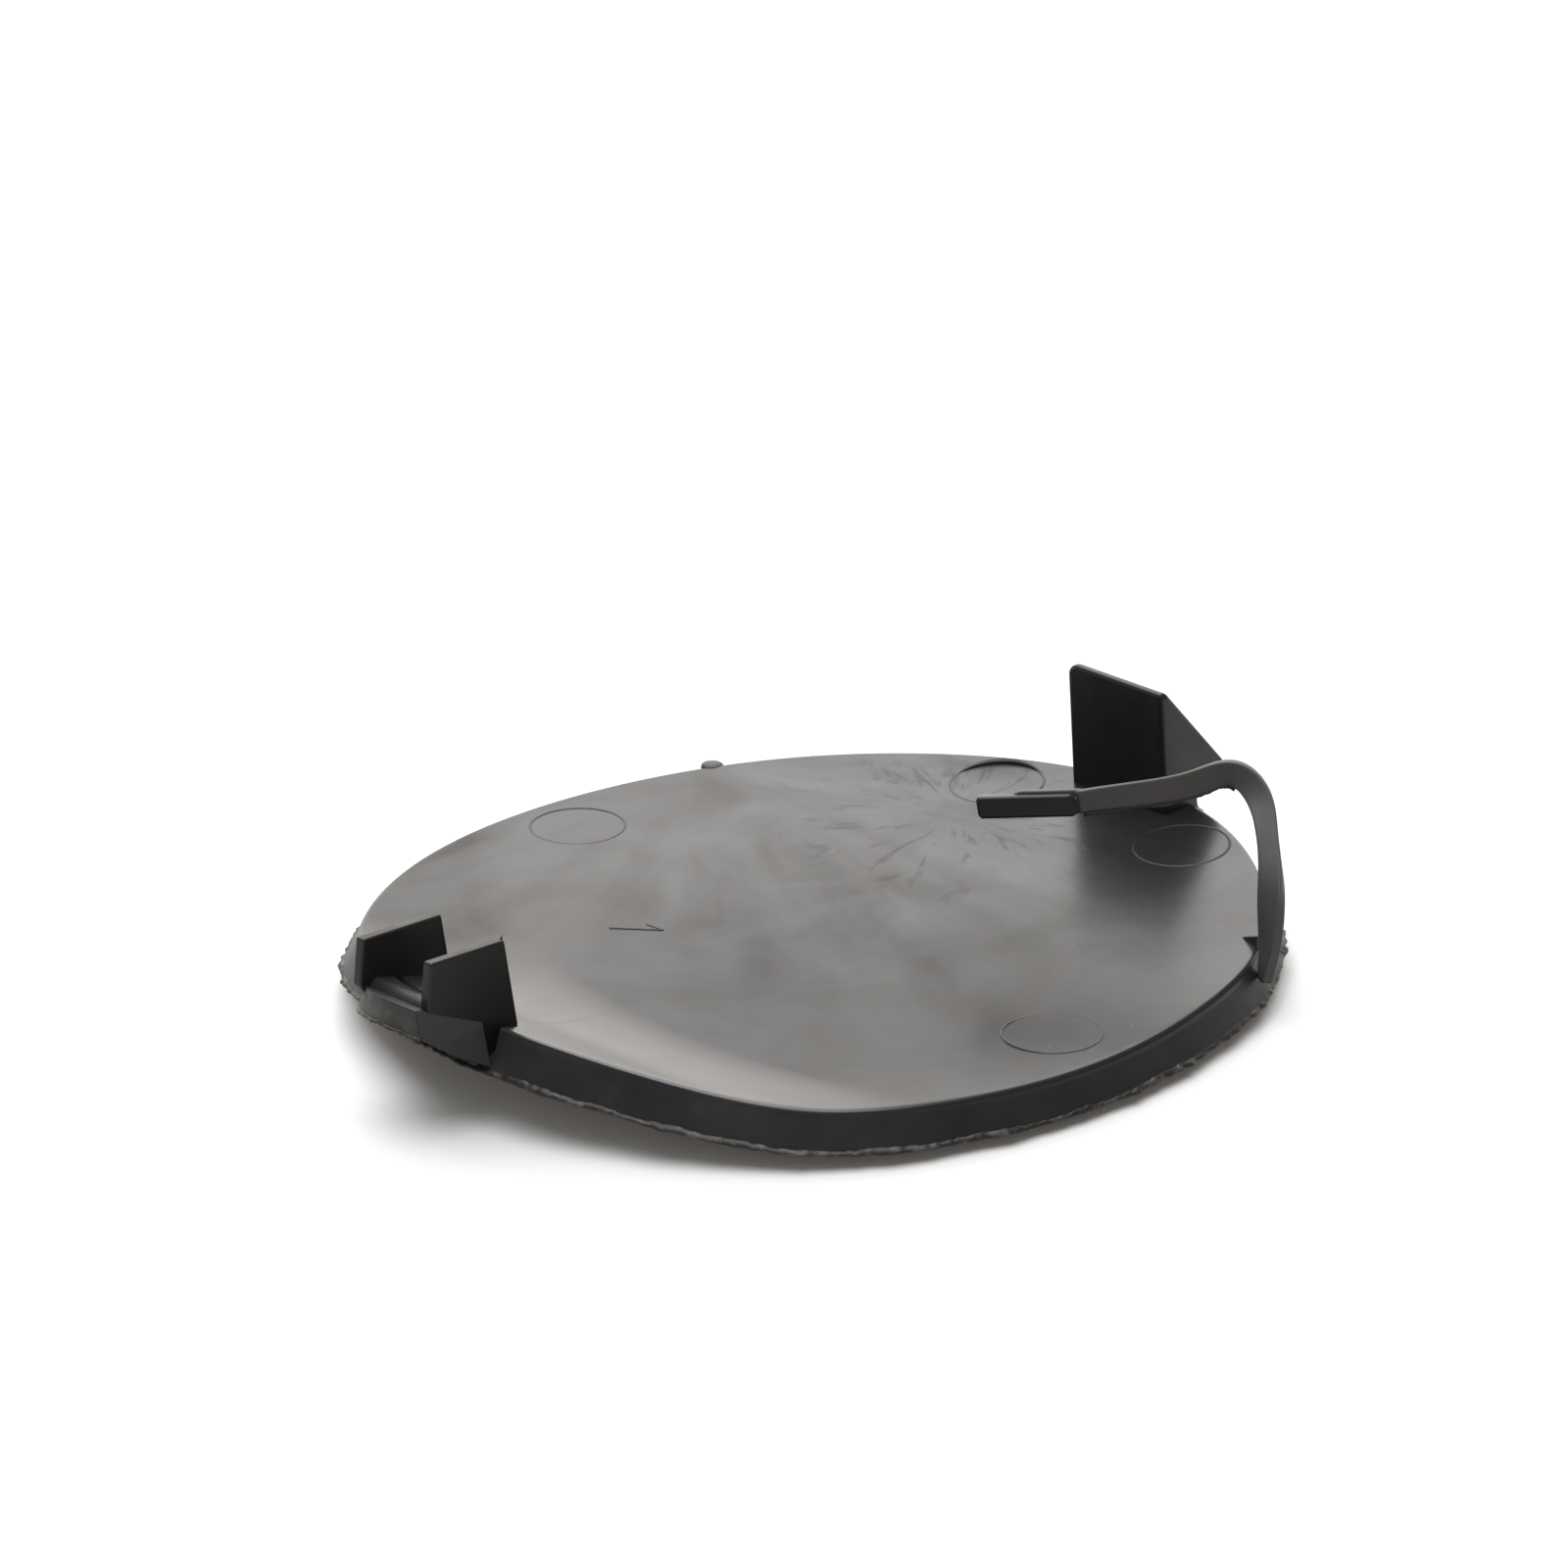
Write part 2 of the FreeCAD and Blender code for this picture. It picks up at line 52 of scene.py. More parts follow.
# all sizes below are in millimetres
REAR_LEVEL, PLATE, DISH_MIDDLE = 5.2, 5.0, -5.0
DISH_RADIUS, BEND_START, BEND_RADIUS, BEND_ANGLE = 480.0, -30.0, 40.0, math.radians(16.0)
CROWN_RADIUS = 1000.0
RIM_RADIUS, FOOT_REACH, RIM_ROUND = 47.0, 1.25, 0.7
LIFT, LIFT_ANGLE, LIFT_HALF = 1.4, 2.62, 0.62    # the painted face's raised edge; both angles in radians
STRAP_BROAD, STRAP_THIN = 2.4, 1.2
PIN_RADIUS = 5.0


def linear(hex_colour, alpha=1.0):
    """sRGB hex to the linear values that shaders use: c <= 0.04045 ? c/12.92 : ((c+0.055)/1.055)^2.4."""
    parts = [int(hex_colour[i:i + 2], 16) / 255 for i in (1, 3, 5)]
    return [c / 12.92 if c <= 0.04045 else ((c + 0.055) / 1.055) ** 2.4 for c in parts] + [alpha]


def to_frame(points):
    """Part axes in millimetres to the row frame in metres: a turn about z, then the middle is added."""
    p = np.asarray(points, float)
    x = p[..., 0] * math.cos(TURN) - p[..., 1] * math.sin(TURN)
    y = p[..., 0] * math.sin(TURN) + p[..., 1] * math.cos(TURN)
    return (np.stack([x, y, p[..., 2]], -1) + MIDDLE) * MM


# %% [markdown]
# ## Materials
#
# Black plastic hardly has a colour of its own. What shows is its sheen, so each material is mostly
# roughness and bump at real sizes: blotches of 5 to 15 mm, grain of 0.2 mm and fine scratches.

# %% One material's nodes, with a short call for each kind

class Graph:
    """A Principled material with its nodes and links, and the few operations that the surfaces use."""

    def __init__(self, name, rough, base):
        self.material = bpy.data.materials.new(name)
        self.material.use_nodes = True
        self.nodes, self.links = self.material.node_tree.nodes, self.material.node_tree.links
        self.shader = self.nodes["Principled BSDF"]
        self.shader.inputs["Base Color"].default_value = linear(base)
        self.shader.inputs["Roughness"].default_value = rough
        self.shader.inputs["IOR"].default_value = 1.5

    def add(self, kind, settings=None, **inputs):
        """One node with its settings and inputs: numbers, colours or outputs of other nodes; i0 is input 0."""
        node = self.nodes.new(kind)
        for key, value in (settings or {}).items():
            setattr(node, key, value)
        for key, value in inputs.items():
            socket = node.inputs[int(key[1:]) if key[1:].isdigit() else key.replace("_", " ")]
            if isinstance(value, bpy.types.NodeSocket):
                self.links.new(value, socket)
            else:
                socket.default_value = value
        return node

    def feed(self, socket, value):
        """Link a value to a socket of the shader."""
        self.links.new(value, self.shader.inputs[socket])

    def combine(self, operation, first, second=0.0):
        """One Math node; plus and times are its two most used forms."""
        return self.add("ShaderNodeMath", {"operation": operation}, i0=first, i1=second).outputs[0]

    def plus(self, first, second):
        return self.combine("ADD", first, second)

    def times(self, first, second):
        return self.combine("MULTIPLY", first, second)

    def moved(self, **inputs):
        """Object coordinates in metres through a Mapping node."""
        coords = self.add("ShaderNodeTexCoord").outputs["Object"]
        return self.add("ShaderNodeMapping", None, Vector=coords, **inputs).outputs["Vector"]

    def noise(self, where, scale, detail=3.0, rough=0.5, distortion=0.0):
        """Noise with a value round 0.5; scale is in patterns per metre."""
        return self.add("ShaderNodeTexNoise", None, Vector=where, Scale=scale, Detail=detail,
                        Roughness=rough, Distortion=distortion).outputs["Fac"]

    def remap(self, value, low, high, out_low, out_high):
        """Straight remap of a value, clamped at both ends."""
        return self.add("ShaderNodeMapRange", None, Value=value, From_Min=low, From_Max=high,
                        To_Min=out_low, To_Max=out_high).outputs["Result"]

    def weaken(self, value, share):
        """A value round 0.5 with its swing cut to a share: 0.5 + share * (value - 0.5)."""
        return self.plus(0.5, self.times(share, self.combine("SUBTRACT", value, 0.5)))

    def blend(self, factor, first, second):
        """Colour between two, each a hex colour or another blend."""
        first, second = (linear(c) if isinstance(c, str) else c for c in (first, second))
        return self.add("ShaderNodeMix", {"data_type": "RGBA"}, Factor=factor, i6=first, i7=second).outputs[2]

    def around(self, centre):
        """Angle and distance in metres from a point of the part, given in part axes (mm)."""
        x, y, _ = to_frame([*centre, 0.0])
        where = self.moved(Location=(-float(x), -float(y), 0.0))
        split = self.add("ShaderNodeSeparateXYZ", None, Vector=where).outputs
        square = self.plus(self.times(split["X"], split["X"]), self.times(split["Y"], split["Y"]))
        return self.combine("ARCTAN2", split["Y"], split["X"]), self.combine("SQRT", square)

    def fan(self, angle, radius, spokes, rings):
        """Texture place in polar form: angle times spokes, radius times rings."""
        return self.add("ShaderNodeCombineXYZ", None, X=self.times(angle, spokes),
                        Y=self.times(radius, rings), Z=0.0).outputs["Vector"]

    def relief(self, where, bump, extra=None):
        """Bump from 0.2 mm grain, 7 mm waves and, on rough edges, 1 mm lumps; extra is one more height."""
        height = self.plus(self.times(self.noise(where, 5200.0, 2.0), 0.12 * bump),
                           self.times(self.noise(where, 140.0, 2.0), 1.6 * min(bump, 1.5)))
        height = self.plus(height, self.times(self.noise(where, 900.0, 3.0, 0.6), 0.35 * (bump - 0.8)))
        if extra is not None:
            height = self.plus(height, extra)
        bumped = self.add("ShaderNodeBump", None, Strength=0.6, Distance=0.00005, Height=height)
        self.feed("Normal", bumped.outputs["Normal"])


# %% Materials of the moulding

def plastic(name, base, other, rough, blotch, bump, fleck=(90.0, 0.40, 0.60)):
    """Moulded plastic: sheen in patches of 10 and 2 mm, grain, and a second tint in patches.

    fleck holds the patterns per metre of the tint's patches and the noise values where it fades in.
    """
    graph = Graph(name, rough, base)
    where = graph.moved()
    mixed = graph.plus(graph.times(graph.noise(where, 90.0, 4.0, 0.6), 0.6),
                       graph.times(graph.noise(where, 420.0, 3.0, 0.6), 0.4))
    graph.feed("Roughness", graph.remap(mixed, 0.38, 0.62, rough - blotch, rough + blotch))
    patches = graph.remap(graph.noise(where, fleck[0]), fleck[1], fleck[2], 0.0, 1.0)
    graph.feed("Base Color", graph.blend(patches, base, other))
    graph.relief(where, bump)
    return graph.material


def rear_finish(name, base, rough):
    """The rear face: stains, flow marks that fan out from the gate, a fan of dark strokes, scratches."""
    graph = Graph(name, rough, base)
    where = graph.moved()
    stain = graph.noise(where, 70.0, 3.5, 0.55, 0.8)
    # flow marks, which fade in away from the gate; all marks grow calmer towards the far side of the plate
    angle, away = graph.around((24.0, 40.5))
    flow = graph.noise(graph.fan(angle, away, 7.0, 26.0), 1.0)
    flow = graph.weaken(flow, graph.remap(away, 0.008, 0.030, 0.0, 1.0))
    mixed = graph.plus(graph.times(stain, 0.6), graph.times(flow, 0.4))
    mixed = graph.weaken(mixed, graph.remap(away, 0.025, 0.070, 1.0, 0.35))
    # dark strokes in a ring round the place where the melt was held up
    angle, far = graph.around((31.5, 11.0))
    strokes = graph.noise(graph.fan(angle, far, 4.2, 95.0), 1.6, 3.0, 0.6, 0.9)
    ring = graph.times(graph.remap(far, 0.002, 0.005, 0.0, 1.0), graph.remap(far, 0.010, 0.026, 1.0, 0.0))
    dark = graph.times(graph.remap(strokes, 0.55, 0.66, 0.0, 1.0), ring)
    gloss = graph.remap(mixed, 0.34, 0.66, rough - 0.08, rough + 0.08)
    graph.feed("Roughness", graph.plus(gloss, graph.times(dark, 0.10)))
    # the middle is duller; past the bend the face shines more near the front and less at the far left
    shade = graph.remap(mixed, 0.36, 0.62, 0.68, 0.41)
    dull = graph.remap(graph.around((-12.0, -14.0))[1], 0.018, 0.044, -0.30, 0.0)
    past_bend = graph.remap(graph.around((40.0, -12.0))[1], 0.0685, 0.0730, 0.0, 0.65)
    beside = graph.remap(graph.around((-33.0, -13.0))[1], 0.018, 0.036, 1.0, -0.35)
    shade = graph.plus(graph.plus(shade, dull), graph.times(past_bend, beside))
    graph.feed("Specular IOR Level", graph.combine("SUBTRACT", shade, graph.times(dark, 0.16)))
    dust = graph.remap(graph.noise(where, 1500.0, 2.0, 0.7), 0.76, 0.80, 0.0, 1.0)
    soiled = graph.blend(graph.remap(stain, 0.42, 0.64, 0.0, 1.0), base, "#2C2A28")
    graph.feed("Base Color", graph.blend(dust, soiled, "#77736C"))
    # two layers of scratches: noise drawn out along a direction, of which only the peaks are kept
    fine = None
    for turn, stretch, depth in ((0.35, 60.0, 0.07), (2.3, 50.0, 0.08)):
        turned = graph.add("ShaderNodeMapping", None, Vector=where, Rotation=(0.0, 0.0, turn),
                           Scale=(stretch, 3200.0, 3200.0)).outputs["Vector"]
        lines = graph.remap(graph.noise(turned, 1.0, 1.0), 0.72, 0.78, 0.0, -depth)
        fine = lines if fine is None else graph.plus(fine, lines)
    graph.relief(where, 0.8, fine)
    return graph.material


rear_plastic = rear_finish("polypropylene_rear_face", "#28282B", 0.25)
wall_plastic = plastic("polypropylene_wall", "#242329", "#2E2B29", 0.38, 0.07, 1.3)
rib_plastic = plastic("polypropylene_hook_and_fins", "#191C1E", "#211F1D", 0.38, 0.07, 0.9)
# the nose gets a lighter, bluish grey than the hook and fins: painted light for its drafted sides, which face a
# little upward
nose_plastic_painted_light = plastic("polypropylene_nose_painted_light", "#3E3F43", "#414141", 0.38, 0.07, 1.2)
rough_plastic = plastic("polypropylene_rough_edge", "#262626", "#42403C", 0.42, 0.12, 4.0, (600.0, 0.48, 0.64))
floor_plastic = plastic("polypropylene_between_fins", "#212426", "#2A2A28", 0.36, 0.08, 2.0)
strap_plastic = plastic("polypropylene_strap", "#47484B", "#4B4846", 0.46, 0.05, 0.8)
flash_plastic = plastic("mould_flash", "#2B2927", "#5C5852", 0.42, 0.12, 8.0, (650.0, 0.50, 0.66))
print("materials:", len(bpy.data.materials))

# %% [markdown]
# ## Turning arrays into pieces
#
# Nearly every piece is a grid: rows of points, each row joined to the next by quads. A closed grid
# needs only two caps to become a solid.

# %% One function adds every mesh

def add_piece(name, points, faces, material, smooth=True, bevel=0.0):
    """Mesh object from points in part axes (mm) and face index rows; it rides on the one body."""
    mesh = bpy.data.meshes.new(name)
    mesh.from_pydata(to_frame(points).tolist(), [], [list(map(int, face)) for face in faces])
    mesh.validate()
    mesh.materials.append(material)
    mesh.shade_smooth() if smooth else mesh.shade_flat()
    item = bpy.data.objects.new(name, mesh)
    bpy.context.scene.collection.objects.link(item)
    if bevel:
        rounding = item.modifiers.new("edge_rounding", "BEVEL")
        rounding.width = bevel * MM
        rounding.segments = 3
        rounding.limit_method = "ANGLE"
        rounding.angle_limit = math.radians(28)
        rounding.harden_normals = True
    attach(item, "root")
    return item


def grid_faces(rows, columns, closed_rows=False, closed_columns=True):
    """Quads of a grid of rows x columns points, numbered row by row."""
    r = np.arange(rows if closed_rows else rows - 1)
    c = np.arange(columns if closed_columns else columns - 1)
    r, c = np.meshgrid(r, c, indexing="ij")
    r2, c2 = (r + 1) % rows, (c + 1) % columns
    return np.stack([r * columns + c, r * columns + c2, r2 * columns + c2, r2 * columns + c], -1).reshape(-1, 4)


def tube_faces(rows, columns):
    """Quads of a tube of rows rings with columns points each, and its two caps."""
    last = (rows - 1) * columns
    return grid_faces(rows, columns).tolist() + [list(range(columns))[::-1], list(range(last, last + columns))]


def strip_faces(sides, count):
    """Quads round a bar given as long lines of count points, one per side, and its two caps."""
    ends = [[k * count for k in range(sides)], [k * count + count - 1 for k in range(sides)][::-1]]
    return grid_faces(sides, count, True, False).tolist() + ends


def unit(v):
    """Vectors scaled to length 1."""
    return v / np.linalg.norm(v, axis=-1, keepdims=True)


def periodic_spline(x, y, at):
    """Closed cubic spline through (x, y) with period 2 pi; second derivatives from a cyclic system."""
    n = len(x)
    step = np.diff(np.append(x, x[0] + 2 * math.pi))
    rise = (np.roll(y, -1) - y) / step
    matrix = np.zeros((n, n))
    for i in range(n):
        matrix[i, i - 1] = step[i - 1]
        matrix[i, i] = 2 * (step[i - 1] + step[i])
        matrix[i, (i + 1) % n] += step[i]
    bend = np.linalg.solve(matrix, 6 * (rise - np.roll(rise, 1)))
    at = (at - x[0]) % (2 * math.pi) + x[0]
    i = np.clip(np.searchsorted(x, at, "right") - 1, 0, n - 1)
    h, left = step[i], at - x[i]
    right = h - left
    y2, b2 = np.roll(y, -1)[i], np.roll(bend, -1)[i]
    curved = (bend[i] * right ** 3 + b2 * left ** 3) / (6 * h)
    return curved + (y[i] / h - bend[i] * h / 6) * right + (y2 / h - b2 * h / 6) * left


# %% [markdown]
# ## The dished plate
#
# The rear face is straight across the part. Along the part its height follows a long arc
# `z = z0 + R - sqrt(R^2 - (s - s0)^2)`, then a tight arc of 40 mm that turns the fin end up,
# then a straight slope. Its outline is a radius over the angle round the middle.

# %% Height of the rear face and of the painted face

def rear_height(s):
    """Height of the rear face at s along the part axis."""
    top = REAR_LEVEL + DISH_RADIUS
    turn = math.asin((BEND_START - DISH_MIDDLE) / DISH_RADIUS)
    joint = np.array([BEND_START, top - DISH_RADIUS * math.cos(turn)])
    centre = joint + BEND_RADIUS * np.array([-math.sin(turn), math.cos(turn)])
    end_turn = turn - BEND_ANGLE
    last = centre + BEND_RADIUS * np.array([math.sin(end_turn), -math.cos(end_turn)])
    gentle = top - np.sqrt(DISH_RADIUS ** 2 - np.clip(s - DISH_MIDDLE, -200, 200) ** 2)
    tight = centre[1] - np.sqrt(np.clip(BEND_RADIUS ** 2 - (s - centre[0]) ** 2, 0, None))
    slope = last[1] + math.tan(-end_turn) * (last[0] - s)
    return np.where(s > BEND_START, gentle, np.where(s > last[0], tight, slope))


def seat_at(s):
    """Height of the rear face at one place, as a number."""
    return float(rear_height(np.array([s]))[0])


def skin_height(s, t):
    """Height of the painted face: the plate's thickness lower, crowned across, its far left edge lifted."""
    slope = (rear_height(s + 0.5) - rear_height(s - 0.5))
    angle = np.arctan2(t, s) % (2 * math.pi)
    near_left = np.clip(1 - ((angle - LIFT_ANGLE) / LIFT_HALF) ** 2, 0, 1) ** 2
    lift = LIFT * near_left * (np.hypot(s, t) / (RIM_RADIUS + 3)) ** 10
    return rear_height(s) - PLATE * np.sqrt(1 + slope ** 2) + t ** 2 / (2 * CROWN_RADIUS) + lift


# how far the rim lies outside RIM_RADIUS, over the angle in degrees
RIM_POINTS = [(0, 2.8), (14, 2.2), (32, 1.1), (50, 0.4), (70, -0.4), (90, -1.0), (113, -1.3), (134, -0.9),
              (150, 0.1), (161, 1.0), (172, 1.4), (-172, 1.4), (-162, 1.5), (-146, 1.3), (-131, 1.1),
              (-115, -0.6), (-95, -2.3), (-70, -2.4), (-54, -0.9), (-30, 0.9), (-14, 2.4)]


def rim_radius(angle):
    """Radius of the rear face's rim over the angle: a closed spline through RIM_POINTS."""
    table = sorted(((math.radians(a % 360), RIM_RADIUS + r) for a, r in RIM_POINTS))
    a, r = np.array(table).T
    return periodic_spline(a, r, angle)


# %% The plate as one closed grid: rear face, rounded rim, drafted wall, foot and painted face
REAR_RINGS, ROUND_RINGS, WALL_RINGS, SKIN_RINGS = 64, 6, 13, 40
ROUND_SHINY = 4                            # rings of the rounded rim that keep the rear face's finish

even = np.linspace(0, 2 * math.pi, 720, endpoint=False)
theta = np.unique(np.round(np.concatenate([even, np.radians(np.linspace(184.6, 187.6, 61))]), 5))
foot = rim_radius(theta) + FOOT_REACH
# a narrow slot beside the near fin is cut into the rim and runs out at the foot of the wall
SLOT_LOW, SLOT_HIGH, SLOT_DEPTH, SLOT_SIDE = math.radians(185.0), math.radians(187.2), 3.0, 0.002
slot = np.clip((theta - SLOT_LOW) / SLOT_SIDE, 0, 1) * np.clip((SLOT_HIGH - theta) / SLOT_SIDE, 0, 1)
rim = rim_radius(theta) - SLOT_DEPTH * slot


def ring(r, height):
    """One ring of the grid at radius r; height is a function of s and t."""
    s, t = r * np.cos(theta), r * np.sin(theta)
    return np.stack([s, t, height(s, t)], -1)


rows = [ring(share * (rim - RIM_ROUND), lambda s, t: rear_height(s))
        for share in np.linspace(0.02, 1.0, REAR_RINGS) ** 0.8]
for bow in np.linspace(0, math.pi / 2, ROUND_RINGS + 1)[1:]:
    drop = RIM_ROUND * (1 - np.cos(bow))
    rows.append(ring(rim - RIM_ROUND + RIM_ROUND * np.sin(bow) * 0.9, lambda s, t: rear_height(s) - drop))
shoulder, base = rows[-1], ring(foot, lambda s, t: skin_height(s, t) + 0.45)
rows += [shoulder * (1 - share) + base * share for share in np.linspace(0, 1, WALL_RINGS + 1)[1:]]
rows.append(ring(foot, lambda s, t: skin_height(s, t) + 0.12))
rows += [ring((foot - 0.15) * share, skin_height) for share in np.linspace(1.0, 0.02, SKIN_RINGS)]
count = len(theta)
points = np.concatenate(rows)
faces = grid_faces(len(rows), count)[:, ::-1].tolist()
faces += [list(range(count)), list(range((len(rows) - 1) * count, len(rows) * count))[::-1]]
plate = add_piece("plate", points, faces, rear_plastic)
plate.data.materials.append(wall_plastic)
slots = np.zeros(len(plate.data.polygons), int)
slots[(REAR_RINGS - 1 + ROUND_SHINY) * count:] = 1
slots[-2] = 0                              # the small cap in the middle of the rear face
plate.data.polygons.foreach_set("material_index", slots)
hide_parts("tow_hook_cover")
print("plate:", len(points), "points")

# %% [markdown]
# ## Hook, nose, fins and web
#
# Each is a profile along the part axis, carried across the part from station to station. A station
# can change the profile a little: that rounds the hook's corner and drafts the sides of the nose.
# Their edges get a small rounding, as the mould's edges are never quite sharp.

# %% Profiles carried across the part

def across_part(name, sections, material, bevel=0.0):
    """Closed prism through sections, each an (n, 3) array of points, from the near side to the far."""
    faces = tube_faces(len(sections), len(sections[0]))
    s, z = sections[0][:, 0], sections[0][:, 2]
    if np.sum(s * np.roll(z, -1) - np.roll(s, -1) * z) > 0:
        faces = [face[::-1] for face in faces]
    return add_piece(name, np.concatenate(sections), faces, material, bevel=bevel)


def inset(profile, depth):
    """Profile (n, 2) moved inward by depth; a corner moves along (n1 + n2) / (1 + n1.n2) of its normals."""
    following = np.roll(profile, -1, 0)
    side = np.sign(np.sum(profile[:, 0] * following[:, 1] - following[:, 0] * profile[:, 1]))
    ahead = unit(following - profile)
    after = side * np.stack([-ahead[:, 1], ahead[:, 0]], -1)
    before = np.roll(after, 1, 0)
    return profile + depth * (before + after) / (1 + np.sum(before * after, -1, keepdims=True))


def soften(profile, corner):
    """Each corner becomes five points of (1-u)^2 a + 2u(1-u) p + u^2 b, with a support point on each side."""
    back, ahead = np.roll(profile, 1, 0) - profile, np.roll(profile, -1, 0) - profile
    room = np.minimum(np.linalg.norm(back, axis=1), np.linalg.norm(ahead, axis=1))[:, None]
    cut = np.minimum(corner, 0.42 * room)
    first, last = profile + unit(back) * cut, profile + unit(ahead) * cut
    u = np.linspace(0, 1, 5)[:, None, None]
    curve = (1 - u) ** 2 * first + 2 * u * (1 - u) * profile + u ** 2 * last
    before, after = profile + unit(back) * cut * 1.15, profile + unit(ahead) * cut * 1.15
    return np.concatenate([before[None], curve, after[None]]).transpose(1, 0, 2).reshape(-1, 2)


def rounded_section(profile, t, gap, edge):
    """Softened profile at t; within edge of an end (gap) it is set in, so that the rim there is round."""
    short = max(edge - gap, 0.0)
    depth = edge - math.sqrt(max(edge ** 2 - short ** 2, 0.0))
    s, z = soften(inset(np.array(profile, float), depth), edge).T
    return np.stack([s, np.full(len(s), t), z], -1)


def upright(name, corners, low, high, material, edge):
    """Plate of constant thickness between two places across the part, its edges rounded by edge."""
    step = edge * (1 - np.cos(np.linspace(0, math.pi / 2, 5)))
    gaps = np.append(step, 1.2 * edge)
    places = [(low + g, g) for g in gaps] + [(high - g, g) for g in gaps[::-1]]
    return across_part(name, [rounded_section(corners, t, g, edge) for t, g in places], material)


# %% The snap hook
HOOK_LOW, HOOK_HIGH, HOOK_ROUND, HOOK_EDGE = -6.7, 7.2, 1.5, 0.5
HOOK_FACE = 45.3
HOOK_SEAT = seat_at(HOOK_FACE)
HOOK_TOP = HOOK_SEAT + 13.7


def hook_section(t):
    """Hook profile at a place across; its top follows two rounded corners, the far one larger."""
    top = HOOK_TOP
    for edge, radius in ((HOOK_HIGH - t, HOOK_ROUND), (t - HOOK_LOW, 0.3 * HOOK_ROUND)):
        short = max(radius - edge, 0.0)
        top -= radius - math.sqrt(max(radius ** 2 - short ** 2, 0.0))
    lean = 1.2 * (top - HOOK_SEAT) / 13.5
    ramp = 45.0 + 8.9 * (HOOK_TOP - top) / 9.5
    low = HOOK_SEAT
    profile = [(HOOK_FACE, low - 2.6), (HOOK_FACE - lean, top), (ramp, top), (53.9, low + 4.0),
               (53.9, low + 3.4), (50.1, low + 1.1), (50.1, low + 0.3), (50.25, low - 0.25),
               (50.6, low - 0.7), (51.2, low - 1.0), (50.6, low - 2.8)]
    return rounded_section(profile, t, min(HOOK_HIGH - t, t - HOOK_LOW), HOOK_EDGE)


curl = np.linspace(0, math.pi / 2, 13)
stations = np.concatenate([HOOK_LOW + HOOK_EDGE * (1 - np.cos(curl[::2])),
                           [HOOK_LOW + 0.6, HOOK_HIGH - HOOK_ROUND - 0.1],
                           HOOK_HIGH - HOOK_ROUND * (1 - np.sin(curl))])
hook = across_part("snap_hook", [hook_section(t) for t in stations], rib_plastic)

# %% The two fins; the near one is a little shorter
SEAT = seat_at(-44.2)
FIN_PROFILE = [(-44.2, SEAT - 4.3), (-44.2, SEAT), (-45.9, SEAT + 9.45), (-56.1, SEAT + 9.6),
               (-56.6, SEAT + 4.8), (-53.4, SEAT), (-49.5, SEAT - 2.6)]
shorter = np.array([(0, 0), (0, 0), (0, 0), (0.6, 0), (0.6, 0), (0, 0), (0, 0)])
upright("fin_near", FIN_PROFILE + shorter, -4.75, -3.55, rib_plastic, 0.25)
upright("fin_far", FIN_PROFILE, 4.55, 5.75, rib_plastic, 0.25)
print("hook and fins stand", round(hook.dimensions.z / MM, 1), "mm")

# %% The nose: its top slopes up, its sides lean out by NOSE_LEAN per millimetre of depth
NOSE_BACK, NOSE_FRONT, NOSE_SLOPE = 48.9, 57.6, 4.97 / 11.9
NOSE_MIDDLE, NOSE_HALF, NOSE_LEAN = 0.5, 5.25, 0.3
NOSE_STEPS, NOSE_CORNERS = 24, 5


def nose_top(s):
    """Height of the nose's top over the fins' seat, s mm out."""
    return 0.36 + NOSE_SLOPE * (s - 45.7)


def nose_section(share):
    """Nose profile from the near side (0) to the far side (1), with the front rounded in plan."""
    front = NOSE_FRONT - 2.4 * max((share - 0.35) / 0.65, 0.0) ** 2.0
    corners = []
    for s, z in ((NOSE_BACK, -2.9), (NOSE_BACK, nose_top(NOSE_BACK)), (front, nose_top(front)),
                 (front + 0.1, nose_top(front) - 2.8), (front - 2.0, nose_top(front) - 4.2)):
        depth = (nose_top(s) - z) * math.cos(math.atan(NOSE_SLOPE))
        half = NOSE_HALF + NOSE_LEAN * max(depth, 0.0)
        corners.append((-s, NOSE_MIDDLE + half * (2 * share - 1), SEAT + z))
    return np.array(corners)


nose = across_part("nose", [nose_section(u) for u in np.linspace(0, 1, NOSE_STEPS + 1)], nose_plastic_painted_light, 0.18)
nose.data.materials.append(rough_plastic)
number = np.arange(len(nose.data.polygons))
is_front = np.isin(number % NOSE_CORNERS, (2, 3)) & (number < NOSE_STEPS * NOSE_CORNERS)
nose.data.polygons.foreach_set("material_index", is_front.astype(int))


# %% The raised floor between the fins, with a crescent groove

def floor_height(s, t):
    """Floor over the fins' seat: a gentle rise outward, a crescent groove and a soft outer step."""
    out = -s - 46.6
    level = 3.2 + 0.26 * out
    arc = out - 6.6 + 0.045 * (t + 1.5) ** 2
    groove = 0.6 * np.exp(-(arc / 0.3) ** 2)
    inner_edge = 0.25 * (1 - np.tanh(out / 0.35)) * 0.5
    return SEAT + level - groove - inner_edge


fs, ft = np.meshgrid(-46.6 - np.linspace(0, 9.0, 110), np.linspace(-3.65, 4.65, 50), indexing="ij")
fz = floor_height(fs, ft) - 1.2 * np.clip((-fs - 54.2) / 1.4, 0, 1) ** 2
under = np.full_like(fs, SEAT - 0.3) + 0.42 * np.clip(-fs - 47.0, 0, None)
top_grid, low_grid = np.stack([fs, ft, fz], -1), np.stack([fs, ft, under], -1)
sections = [np.concatenate([top_grid[:, j], low_grid[::-1, j]]) for j in range(fs.shape[1])]
across_part("web", sections, floor_plastic)

# %% [markdown]
# ## The tether strap
#
# A flat band of 2.4 by 1.2 mm leaves the wall, twists a quarter turn, rises and arches over the
# plate. A smooth line through a few stations carries a rounded rectangle.

